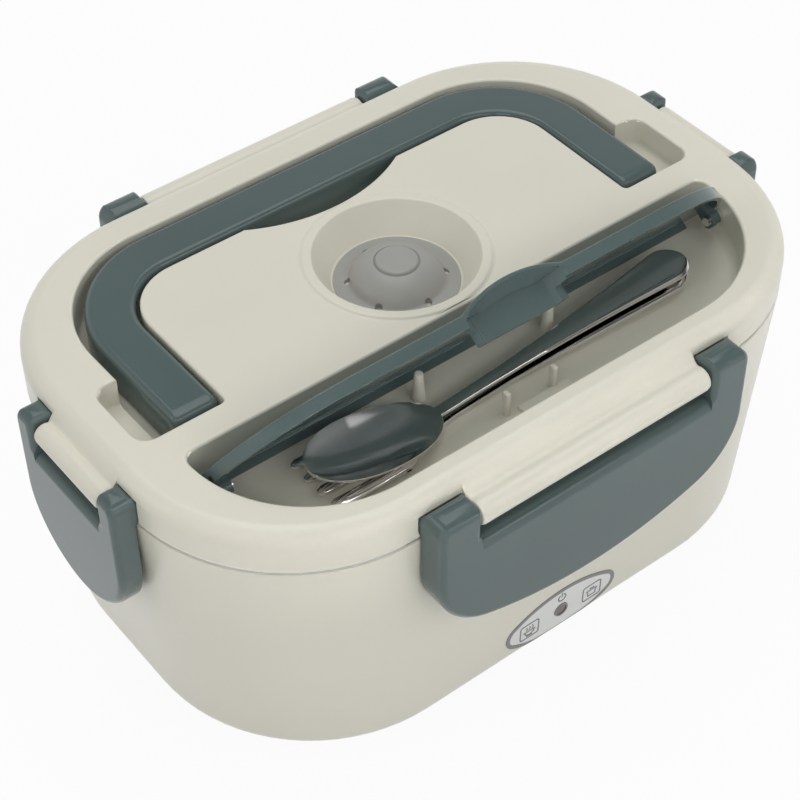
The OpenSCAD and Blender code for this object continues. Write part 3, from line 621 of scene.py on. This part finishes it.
def makeLid(s):
    hx, hy, c, t = *s["half"], s["corner"], lidTop
    rings = [[(x, y, s["seam"]) for x, y in roundRect(hx - 0.5, hy - 0.5, c - 0.5)],
             [(x, y, s["seam"] + 0.5) for x, y in roundRect(hx, hy, c)]]
    for i in range(9):
        a = math.radians(90 * i / 8)
        d = s["round"] * (1 - math.cos(a))
        rings.append([(x, y, t - s["round"] * (1 - math.sin(a))) for x, y in roundRect(hx - d, hy - d, c - d)])
    obj = loft("lidShell", rings)
    longLip = loft("longLip", lipRings(4.1, longAxis, 3.4, 5.6, 147, 43.5), alongX)
    shortLip = loft("shortLip", lipRings(3.7, shortAxis, 3.0, 3.6, 141, 17), alongX)
    turned(shortLip, Matrix.Rotation(math.radians(-90), 4, "Z"))
    backLip = copied(longLip, "backLip", Matrix.Rotation(math.pi, 4, "Z"))
    rightLip = copied(shortLip, "rightLip", Matrix.Rotation(math.pi, 4, "Z"))
    for lip in (longLip, backLip, shortLip, rightLip):
        join(obj, lip)
    cut(obj, loft("inside", slabRings(hx - 2.2, hy - 2.2, c - 2.2, 80, t - 5)))
    cut(obj, loft("inside", slabRings(hx - 5, hy - 5, c - 5, 80, t - 2.2)))
    join(obj, loft("grooveWall", blockRings(grown(groovePath(), 2), t - 15.5, t - 1)))
    join(obj, loft("recessWall", blockRings(grown(recessPath(), 1.6), t - 15.5, t - 1)))
    join(obj, loft("pocketWall", boxRings(-107.5, 107.5, -14.7, 16, t - 12.5, t - 1, 0.05)))
    bowlWall = ((s["bowlFoot"] + 2, -12), (s["bowlR"] + 2, -1), (s["ringR"] + 0.8, -0.9), (s["ringR"] + 0.8, 0.01),
                (s["ringR"] + 0.3, 0.12), (s["ringR"], 0.38), (s["ringR"] - 0.25, 0.63), (s["ringR"] - 0.6, 0.77),
                (s["ringR"] - 0.95, 0.8))
    join(obj, loft("bowlWall", [[(x, y + s["valveY"], t + z) for x, y in disc(r, 96)] for r, z in bowlWall]))
    for sx in (-1, 1):
        join(obj, rod("boss", 4, *sorted((sx * 97, sx * 104)), *coverHinge))
        for y in (-12, 22):
            post = [[(a + sx * 100.4, b + y, z) for a, b in disc(2.6, 24)] for z in (t - 17.5, t - 11.5)]
            join(obj, loft("post", post))
        for sy in (-1, 1):
            for x0, x1, y0, y1 in ((42.5, 60, 77.4, 73.9), (116, 111.5, 16, 27.5)):  # wall behind the ears
                xs, ys = sorted((sx * x0, sx * x1)), sorted((sy * y0, sy * y1))
                join(obj, loft("block", boxRings(*xs, *ys, s["seam"], t - 3, 0.05)))
    cut(obj, loft("groove", pocketRings(groovePath(), t - s["depth"], t, 1.2, 0.9)))
    for sign in (-1, 1):
        pocket = roundRect(9.0, 13.35, 5, 8, sign * 96.5, 0.65)
        cut(obj, loft("pocket", pocketRings(pocket, t - 10.5, t, 1.5, 0.9)))
    cut(obj, loft("recess", pocketRings(recessPath(), t - s["depth"], t, 3.2, 0.9, 6)))
    bowl = ((s["bowlFoot"] - 1.3, -s["bowlDepth"]), (s["bowlFoot"] - 0.5, -s["bowlDepth"] + 0.12),
            (s["bowlFoot"] + 0.1, -s["bowlDepth"] + 0.5), (s["bowlR"] - 0.15, 0.3), (s["bowlR"], 0.52),
            (s["bowlR"] + 0.2, 0.72), (s["bowlR"] + 0.55, 0.81), (s["bowlR"] + 0.6, 3))
    cut(obj, loft("bowl", [[(x, y + s["valveY"], t + z) for x, y in disc(r, 96)] for r, z in bowl]))
    cut(obj, loft("steamHole", [[(x, y + s["valveY"], z) for x, y in disc(3.2, 24)] for z in (80, 98)]))
    for sx in (-1, 1):
        for start in (-58.9, 43.55):
            cut(obj, turnedRod(sx, rod("earRoom", 6.8, start, start + 15.35, -longAxis[0], longAxis[1], 48), 0))
        for start in (-26.4, 17.05):
            cut(obj, turnedRod(sx, rod("earRoom", 6.1, start, start + 9.35, -shortAxis[0], shortAxis[1], 48), -90))
        peg = [(2.4, -14), (2.2, -13), (1.75, -8), (1.45, -3.9), (1.25, -3.3), (0.8, -3.0)]
        join(obj, loft("peg", [[(x + sx * 25.0, y - 35.6, t + z) for x, y in disc(r, 24)] for r, z in peg]))
        join(obj, loft("rib", boxRings(sx * 9 - 0.9, sx * 9 + 0.9, -57.8, -55.2, t - 14, t - 4.7, 0.6)))
    join(obj, loft("catchPad", boxRings(-5, 14, -69, -57, t - 14, t - 12.1, 0.4)))
    smooth(obj)
    hand(obj, "lidShell", ivory, "lid", "ivory_plastic", "lid_shell")


makeLid(lid)
print("lid made")

# carrying handle

grip = {"half": 93.5, "width": 15.5, "thick": 12.6, "back": 63.6, "outerR": 36, "pivotY": -4.5,
        "pivotZ": lidTop - 6.5, "front": -11.0, "edge": 2.2, "endTop": 3, "endLow": 6.1, "endSide": 2.2}


def roundedOff(r, s):
    # how far a round of radius r falls away at s from the end
    return r - math.sqrt(max(0, r ** 2 - (r - s) ** 2)) if s < r else 0


def makeHandle(g):
    mid = g["half"] - g["width"] / 2
    r = g["outerR"] - g["width"] / 2
    top = g["back"] - g["width"] / 2
    line = [(mid, g["front"] + d) for d in (0, 0.12, 0.45, 1.0, 1.8, 3.0, 4.6, 6.2, 9, 16)]
    line += arc(mid - r, top - r, r, 0, 90, 22)
    line += arc(-mid + r, top - r, r, 90, 180, 22)
    line += [(-mid, g["front"] + d) for d in (16, 9, 6.2, 4.6, 3.0, 1.8, 1.0, 0.45, 0.12, 0)]
    line = clean(line)
    rings = []
    count = len(line)
    for i, (x, y) in enumerate(line):
        a, b = Vector(line[max(0, i - 1)]), Vector(line[min(count - 1, i + 1)])
        t = (b - a).normalized()
        side = Vector((t.y, -t.x))
        s = min(y - g["front"], 40) if abs(x) > mid - 0.01 and y < 20 else 40
        topCut, lowCut = roundedOff(g["endTop"], s), roundedOff(g["endLow"], s)
        hw = g["width"] / 2 - roundedOff(g["endSide"], s)
        z1, z0 = lidTop - topCut, lidTop - g["thick"] + lowCut
        e = min(g["edge"], (z1 - z0) / 2.2)
        section = []
        for cx, cz, a0 in ((hw - e, z1 - e, 0), (-hw + e, z1 - e, 90)):
            section += arc(cx, cz, e, a0, a0 + 90, 6)
        low = 0.6
        for cx, cz, a0 in ((-hw + low, z0 + low, 180), (hw - low, z0 + low, 270)):
            section += arc(cx, cz, low, a0, a0 + 90, 2)
        rings.append([(x + side.x * u, y + side.y * u, w) for u, w in section])
    obj = loft("carryHandle", rings)
    wall = 2.4
    out, far = g["half"] - wall, g["back"] - wall
    outer = [(out, 5, 0), (out, far, g["outerR"] - wall), (-out, far, g["outerR"] - wall), (-out, 5, 0)]
    near = g["back"] - g["width"] + wall
    side = g["half"] - g["width"] + wall
    inner = [(-side, 5, 0), (-side, near, 22), (side, near, 22), (side, 5, 0)]
    hollow = clean(roundPoly(outer, 2.4)) + clean(roundPoly(inner, 2.4))
    cut(obj, loft("hollow", blockRings(clean(hollow), lidTop - 16, lidTop - 2.6)))
    for x in (-92.3, 70):
        bore = [[(y + g["pivotY"], z + g["pivotZ"], w) for y, z in disc(2.3, 28)] for w in (x, x + 22.3)]
        cut(obj, loft("bore", bore, alongX))
    smooth(obj, 32)
    hand(obj, "carryHandle", tealGrey, "handle", "teal_plastic", "carry_handle")


makeHandle(grip)
print("handle made")

# latches, drawn for the front and turned to the other sides

longLatch = {"axis": longAxis, "half": 58.5, "lip": 43.5, "face": 4.7, "back": 4.9, "trough": 7.9, "earTop": -2.8,
             "shelf": -15.5, "drop": 58.0, "ear": 6.4, "earR": (5.0, 2.5), "edge": 2.3, "shoulder": 3.6,
             "sideX": 34, "sideDown": 28, "sideR": 24.5, "bellyR": 132.34}
shortLatch = {"axis": shortAxis, "half": 26.0, "lip": 17.0, "face": 4.2, "back": 3.0, "trough": 7.4, "earTop": -3.2,
              "shelf": -15.0, "drop": 58.5, "ear": 5.8, "earR": (4.2, 2.4), "edge": 2.2, "shoulder": 3.3}


def latchTop(p):
    # two ears, and between them the shelf under the lid's lip
    h, e, s, lip = p["half"], lidTop + p["earTop"], lidTop + p["shelf"], p["lip"] + 0.5
    outerR, innerR = p["earR"]
    return roundPoly([(h, s, 0), (h, e, outerR), (lip, e, innerR), (lip, s, 0.8), (-lip, s, 0.8), (-lip, e, innerR),
                      (-h, e, outerR), (-h, s, 0)], 0.7)


def longPath(p):
    x, z, r, big = p["sideX"], lidTop - p["sideDown"], p["sideR"], p["bellyR"]
    centre = lidTop - p["drop"] + big
    meet = math.degrees(math.atan2(x, centre - lidTop + p["sideDown"]))
    left = arc(-x, z, r, 180, 270 - meet, 22)
    low = arc(0, centre, big, 270 - meet, 270 + meet, 30)[1:-1]
    right = arc(x, z, r, 270 + meet, 360, 22)
    return clean(latchTop(p) + left + low + right, 0.05)


def shortPath(p):
    return clean(latchTop(p) + arc(0, lidTop - p["drop"] + p["half"], p["half"], 180, 360, 56), 0.05)


def makeLatch(name, p, path):
    out, up = p["axis"]
    front, back = out + p["face"], out - p["back"]
    obj = loft(name, blockRings(path, back - 1.6, front, 0.1, p["edge"], 5), alongY)
    r = p["ear"]
    faceTurn = 180 - math.degrees(math.acos(p["face"] / r))
    backTurn = math.degrees(math.acos(min(1, p["back"] / r)))
    profile = [(-front - 1, 20), (-back, 20)] + arc(-out, up, r, -backTurn, faceTurn - 6, 30)
    profile += [(-front, up + r * math.sin(math.radians(faceTurn)) - 0.9), (-front - 1, up)]
    keepInside(obj, loft("sideForm", [[(y, z, w) for y, z in profile] for w in (-70, 70)], alongX))
    lip = p["lip"] + 0.5
    trough = [[(y - out, z + up, w) for y, z in disc(p["trough"], 72)] for w in (-lip - 0.02, lip + 0.02)]
    cut(obj, loft("trough", trough, alongX))
    soft = p["shoulder"]
    centre = Vector((soft - p["face"], -math.sqrt((p["trough"] + soft) ** 2 - (soft - p["face"]) ** 2)))
    meet = centre * (p["trough"] / (p["trough"] + soft))
    lean = math.degrees(math.atan2(-centre.y, -centre.x))
    above = [(-p["face"] - 1, centre.y)] + arc(centre.x, centre.y, soft, 180, lean, 16)
    above += [(meet.x, 0), (-p["face"] - 1, 0)]
    cut(obj, loft("shoulder", [[(y - out, z + up, w) for y, z in above] for w in (-lip, lip)], alongX))
    side, limit = p["half"] - 2.3, lidTop + p["shelf"] - 4.2
    inner = clean([(-side, limit)] + [q for q in grown(path, -2.3) if q[1] < limit - 0.5] + [(side, limit)], 0.05)
    cut(obj, loft("hollow", blockRings(inner, back - 3, front - 2.2, 0, 0.8, 3), alongY))
    for x in (-p["half"] + 1, p["lip"] - 1):
        bore = [[(y - out, z + up, w) for y, z in disc(1.6, 24)] for w in (x, x + p["half"] - p["lip"])]
        cut(obj, loft("bore", bore, alongX))
    nose = boxRings(-p["lip"] * 0.62, p["lip"] * 0.62, -front + 1, -back - 0.9, up - 14.8, up - 13, 0.5)
    join(obj, loft("hook", nose))
    smooth(obj, 32)
    return obj


frontLatch = makeLatch("frontLatch", longLatch, longPath(longLatch))
backLatch = copied(frontLatch, "backLatch", Matrix.Rotation(math.pi, 4, "Z"))
leftLatch = makeLatch("leftLatch", shortLatch, shortPath(shortLatch))
turned(leftLatch, Matrix.Rotation(math.radians(-90), 4, "Z"))
rightLatch = copied(leftLatch, "rightLatch", Matrix.Rotation(math.pi, 4, "Z"))
for piece, side in ((frontLatch, "front"), (backLatch, "back"), (leftLatch, "left"), (rightLatch, "right")):
    hand(piece, side + "Latch", tealGrey, side + "_clasp", "teal_plastic", side + "_latch")
print("latches made")

# cutlery cover, drawn shut and then swung open about its pins

cover = {"top": lidTop - 0.3, "thick": 2.0, "skirt": 4.25, "hingeY": coverHinge[0], "hingeZ": coverHinge[1],
         "open": 58, "hoodUp": 4.1, "hoodR": 43.1, "eyeX": 93.7, "eyeHalf": 1.7}


def coverPath(inset=0.0):
    return wellPath(41.1 - inset, -25.9 - inset, 2.6 - inset)


def makeCover(c):
    t = c["top"]
    obj = loft("cutleryCover", blockRings(coverPath(), t - c["skirt"], t, 0.25, 0.55, 3))
    cut(obj, loft("under", blockRings(coverPath(1.7), t - 8, t - c["thick"])))
    join(obj, loft("backWall", boxRings(-87, 87, -27.6, -25.95, t - c["skirt"], t - 1.2, 0.3)))
    wall = clean(roundPoly([(19.8, -66.5, 0), (14.9, -59.7, 0.8), (-14.9, -59.7, 0.8), (-19.8, -66.5, 0)], 0.6))
    join(obj, loft("scoopWall", blockRings(wall, t - 9.6, t - 0.6)))
    scoop = [(-18.3, -72, 0), (18.3, -72, 0), (18.3, -67.6, 0), (13.25, -61.2, 0.8), (-13.25, -61.2, 0.8),
             (-18.3, -67.6, 0)]
    scoop = clean(roundPoly(scoop, 0.6))
    cut(obj, loft("scoop", blockRings(scoop, t - 12, t + 1)))
    centre = t + c["hoodUp"] - c["hoodR"]
    outside = clean(arc(0, centre, c["hoodR"], 64, 116, 30) + [(-19, t - 1), (19, t - 1)])
    hood = loft("hood", [[(x, z, w) for x, z in path] for path, w in (
        ([(x * 0.90, t - 1 + (z - t + 1) * 0.28) for x, z in outside], 58.8), (outside, 66.2), (outside, 67.2),
        ([(x * 0.985, z - 0.35) for x, z in outside], 67.6))], alongY)
    inside = clean(arc(0, centre, c["hoodR"] - 1.2, 66.4, 113.6, 30) + [(-16.9, t - 3), (16.9, t - 3)])
    cut(hood, loft("mouth", [[(x, z, w) for x, z in path] for path, w in (
        ([(x * 0.76, t - 3 + (z - t + 3) * 0.5) for x, z in inside], 61.2), (inside, 66.6), (inside, 70))], alongY))
    join(obj, hood)
    for sign in (-1, 1):
        for y, near, far in ((-33, 4, 84), (-55.6, 23, 76)):
            ends = sorted((sign * near, sign * far))
            join(obj, loft("ridge", boxRings(*ends, y - 0.6, y + 0.6, t - c["thick"] - 0.5, t - 1, 0.25)))
    cut(obj, loft("trim", boxRings(-30, 30, -70, -62.8, t - 14, t - 5, 0.2)))
    y, z, half = c["hingeY"], c["hingeZ"], c["eyeHalf"]
    for sign in (-1, 1):
        cut(obj, loft("endGap", boxRings(sign * 99.5 - 10, sign * 99.5 + 10, -38.6, -20, t - 9, t - c["thick"], 0.05)))
        x = sign * c["eyeX"]
        eye = [[(a + y, b + z, w) for a, b in disc(2.8, 32)] for w in (x - half, x + half)]
        join(obj, loft("eye", eye, alongX))
        join(obj, loft("eyeArm", boxRings(x - half, x + half, y - 2.2, y + 2.2, z + 0.4, t - 1, 0.1)))
        bore = [[(a + y, b + z, w) for a, b in disc(1.68, 24)] for w in (x - 3, x + 3)]
        cut(obj, loft("bore", bore, alongX))
        cut(obj, loft("mouthSlot", boxRings(x - 3, x + 3, y - 1.4, y + 1.4, z - 6, z, 0.1)))
    swing = Matrix.Translation(Vector((0, c["hingeY"], c["hingeZ"])) * mm)
    turned(obj, swing @ Matrix.Rotation(math.radians(-c["open"]), 4, "X") @ swing.inverted())
    smooth(obj, 32)
    hand(obj, "cutleryCover", tealGrey, "cover", "teal_plastic", "cutlery_cover")


makeCover(cover)
print("cover made")

# steam valve

valve = {"y": 7, "profile": [  # radius and height from the lid's top, from the stem up
    (2.4, -15.0), (2.9, -14.4), (2.9, -9.9), (19.4, -9.9), (20.0, -9.75), (19.9, -9.5), (18.6, -9.36),
    (16.8, -9.25), (15.7, -9.0), (15.1, -8.5), (14.6, -7.7), (13.9, -6.7), (12.9, -5.5), (11.6, -4.4),
    (10.1, -3.45), (8.7, -2.8), (7.7, -2.5), (7.35, -2.5), (7.15, -2.8), (6.95, -2.85), (6.8, -2.55),
    (6.72, -2.15), (6.5, -1.85), (6.1, -1.7), (5.4, -1.62), (2.6, -1.56)]}


def makeValve(v):
    rings = [[(x, y + v["y"], lidTop + z) for x, y in disc(r, 96)] for r, z in v["profile"]]
    obj = loft("steamValve", rings)
    for k in range(6):
        a = math.radians(31 + 60 * k)
        x, y = 15.3 * math.cos(a), 15.3 * math.sin(a) + v["y"]
        ball = []
        for t in (math.radians(q) for q in (-75, -45, -15, 15, 45, 75)):
            z = lidTop - 8.95 + 1.35 * math.sin(t)
            ball.append([(x + u * math.cos(t), y + w * math.cos(t), z) for u, w in disc(1.35, 20)])
        cut(obj, loft("vent", ball))
    smooth(obj, 40)
    hand(obj, "steamValve", valveSilicone, "valve", "silicone", "steam_valve")


makeValve(valve)
print("valve made")

# spoon and fork

# side and rim: place across and height at the tip, the neck and the end
spoon = {"tip": -72.5, "neck": -26.0, "end": 73.5, "side": (-46.4, -47.5, -43.3), "rim": (-4.1, -7.9, -5.1),
         "dish": 4.3, "thick": 1.3, "bowlHalf": 13.2, "endHalf": 7.0, "lean": 0.9}


def spoonWidth(x, s):
    left = s["end"] - x
    stem = 1.9 + (s["endHalf"] - 1.9) * max(0.0, (x - s["neck"]) / (s["end"] - 8 - s["neck"])) ** 2
    stem = min(stem, math.sqrt(max(0.0, s["endHalf"] ** 2 - max(0.0, s["endHalf"] - left) ** 2)))
    if x > s["neck"] + 6:
        return max(0.2, stem)
    widest = s["tip"] + 21
    reach = 21 if x < widest else 24
    bowl = s["bowlHalf"] * math.sqrt(max(0.0, 1 - ((x - widest) / reach) ** 2))
    if x < widest:
        return max(0.15, bowl)
    return (bowl ** 2.6 + stem ** 2.6) ** (1 / 2.6)  # bowl and stem run into each other


def blend(values, t, u, bend=1.0):
    a, b, c = values
    return a + (b - a) * t ** bend if u <= 0 else b + (c - b) * u ** bend


def makeSpoon(s):
    rings = []
    stations = [s["tip"] + 0.5 * (s["neck"] - s["tip"]) * (1 - math.cos(math.pi * i / 44)) for i in range(44)]
    stations += [s["neck"] + (s["end"] - s["endHalf"] - s["neck"]) * i / 35 for i in range(35)]
    stations += [s["end"] - s["endHalf"] * (1 - math.sin(math.radians(90 * i / 14))) for i in range(15)]
    for x in stations:
        t = min(1.0, max(0.0, (x - s["tip"]) / (s["neck"] - s["tip"])))
        u = min(1.0, max(0.0, (x - s["neck"]) / (s["end"] - s["neck"])))
        w, y0, rise = spoonWidth(x, s), blend(s["side"], t, u), blend(s["rim"], t, u, 1.2)
        dish = s["dish"] * max(0.0, 1 - (2.3 * t - 1.0) ** 2) ** 0.9 if t < 0.87 else 0.0
        top, low = [], []
        for k in range(21):
            v = -1 + k / 10
            hollow = dish * (1 - v * v)
            crown = 0.1 * w * (1 - v * v) * min(1, u * 6) - s["lean"] * v * math.sin(math.pi * t) * (w / s["bowlHalf"])
            edge = abs(v) == 1
            z = lidTop + rise - hollow + crown
            top.append((x, y0 + v * w, z - (s["thick"] * 0.15 if edge else 0)))
            low.append((x, y0 + v * w * 0.99, z - s["thick"] * (0.85 if edge else 1)))
        rings.append(top + low[::-1])
    obj = loft("spoon", rings)
    smooth(obj, 50, False)
    hand(obj, "spoon", cutlerySteel, "spoon_body", "bright_steel", "spoon")


fork = {"tips": -72.0, "root": -47.0, "y": -46.4, "half": 11.4, "gap": 2.7, "end": 72.8, "low": -13.1, "thick": 1.3,
        "rise": 3.6}


def makeFork(f):
    tine = (2 * f["half"] - 3 * f["gap"]) / 4
    end = arc(f["end"] - 7, f["y"] + 0.4, 7, -80, 80, 16)
    side = ((-60, f["half"], 0), (-44, f["half"], 8), (-34, 4.2, 8), (-22, 3.0, 14), (0, 3.0, 30), (58, 6.7, 14),
            (f["end"] - 7, 7.0, 0))
    lower = roundPoly([(x, f["y"] - w, r) for x, w, r in side], 1.4)
    half = [p for p in lower if p[0] > -50]
    upper = [(x, 2 * f["y"] - y) for x, y in reversed(half)]
    comb = []
    for k in range(4):
        hi = f["y"] + f["half"] - k * (tine + f["gap"])
        lo = hi - tine
        comb += [(f["root"] + 2, hi)] if k == 0 else []
        tip = arc(f["tips"] + 1.3, (hi + lo) / 2, tine / 2 - 0.5, 90, 270, 6)
        comb += [(f["tips"] + 2.2, hi)] + tip + [(f["tips"] + 2.2, lo)]
        if k < 3:
            comb += arc(f["root"] - f["gap"] / 2, lo - f["gap"] / 2, f["gap"] / 2, 90, -90, 6)
        else:
            comb += [(f["root"] + 2, lo)]
    outline = clean(half + end + upper + comb, 0.04)
    rings = blockRings(outline, f["low"], f["low"] + f["thick"], 0.25, 0.3, 2)
    obj = loft("fork", [[(x, y, lidTop + z) for x, y, z in ring] for ring in rings])
    pickOnly(obj)
    for v in obj.data.vertices:
        x = v.co.x / mm
        if x < -40:
            v.co.z += mm * 0.0010 * (x + 40) ** 2
        elif x > -30:
            v.co.z += mm * f["rise"] * (x + 30) / (f["end"] + 30)
            v.co.y += mm * 0.02 * (x + 30)
    smooth(obj, 40, False)
    hand(obj, "fork", cutlerySteel, "fork_body", "bright_steel", "fork")


makeSpoon(spoon)
makeFork(fork)
print("cutlery made")

# power panel on the front wall

panel = {"z": panelZ, "rim": 1.4, "badgeX": 13.0, "sideX": 17.1, "sideR": 5.4, "bigR": 38.26, "bigDown": 28.06}


def ovalPath(grow=0.0):
    x, z, down = panel["sideX"], panel["z"], panel["bigDown"]
    a = math.degrees(math.atan2(down, x))
    r, big = panel["sideR"] + grow, panel["bigR"] + grow
    path = arc(x, z, r, -a, a, 14) + arc(0, z - down, big, a, 180 - a, 28)
    path += arc(-x, z, r, 180 - a, 180 + a, 14) + arc(0, z + down, big, 180 + a, 360 - a, 28)
    return clean(path, 0.03)


def wallSkin(name, path, proud, deep, holes=()):
    tool = loft(name, [[(x, z, w) for x, z in path] for w in (60, 95)], alongY)
    for hole in holes:
        cut(tool, loft("hole", [[(x, z, w) for x, z in hole] for w in (55, 99)], alongY))
    keepInside(tool, loft("outer", bodyRings(shell, -proud, shell["top"], shell["foot"] - proud)))
    return cut(tool, loft("inner", bodyRings(shell, deep, shell["top"] - 5, shell["foot"] + deep)))


def makePanel(p):
    lampRoom = [(x, z + p["z"]) for x, z in disc(lampHoleR, 32)]
    plate = wallSkin("powerPanel", ovalPath(), 0.10, 1.0, [lampRoom])
    smooth(plate, 30)
    hand(plate, "powerPanel", panelFace, "base", "panel_print", "power_panel")
    rim = wallSkin("panelRim", ovalPath(0.05), 0.22, 0.5, [ovalPath(-p["rim"])])
    smooth(rim, 30)
    hand(rim, "panelRim", panelPrint, "base", "panel_print")
    pieces = []

    def strip(points, width):
        for (x0, z0), (x1, z1) in zip(points, points[1:]):
            d = Vector((x1 - x0, z1 - z0)).normalized() * (width / 2)
            side = Vector((-d.y, d.x))
            a, b = Vector((x0, z0)) - d * 0.6, Vector((x1, z1)) + d * 0.6
            quad = [a - side, b - side, b + side, a + side]
            pieces.append(loft("mark", [[(q.x, q.y, -wallY(q.y) + w) for q in quad] for w in (0.02, 0.2)], alongY))

    def frameOf(cx, cz, hx, hz, r, width):
        strip(clean(roundRect(hx, hz, r, 4, cx, cz)) + [(cx + hx, cz + hz - r)], width)

    left, right, z = -p["badgeX"], p["badgeX"], p["z"] - 0.6
    frameOf(left, z, 3.7, 3.3, 0.9, 0.42)
    strip(arc(left, z - 0.2, 1.9, 180, 360, 10), 0.4)                     # bowl
    strip([(left - 2.3, z - 0.2), (left + 2.3, z - 0.2)], 0.4)
    strip([(left - 1.1, z - 2.4), (left + 1.1, z - 2.4)], 0.4)
    for dx in (-1.1, 0.1, 1.3):                                           # warmth rising
        strip([(left + dx - 0.25, z + 0.6), (left + dx + 0.2, z + 1.3), (left + dx - 0.2, z + 2.0)], 0.32)
    frameOf(right, z, 3.7, 3.3, 0.9, 0.42)
    strip([(right - 2.2, z + 0.6), (right + 2.2, z + 0.6)], 0.4)          # lidded box
    strip([(right - 1.8, z + 0.6), (right - 1.5, z - 1.8), (right + 1.5, z - 1.8), (right + 1.8, z + 0.6)], 0.4)
    strip([(right - 0.8, z + 1.5), (right + 0.8, z + 1.5)], 0.5)
    strip(arc(0, p["z"] + 5.9, 1.5, 125, 415, 14), 0.42)                  # plain on/off sign
    strip([(0, p["z"] + 6.2), (0, p["z"] + 7.9)], 0.42)
    pickOnly(pieces[0])
    for piece in pieces:
        piece.select_set(True)
    bpy.ops.object.join()
    marks = bpy.context.object
    hand(marks, "panelMarks", panelPrint, "base", "panel_print")


makePanel(panel)
print("panel made")
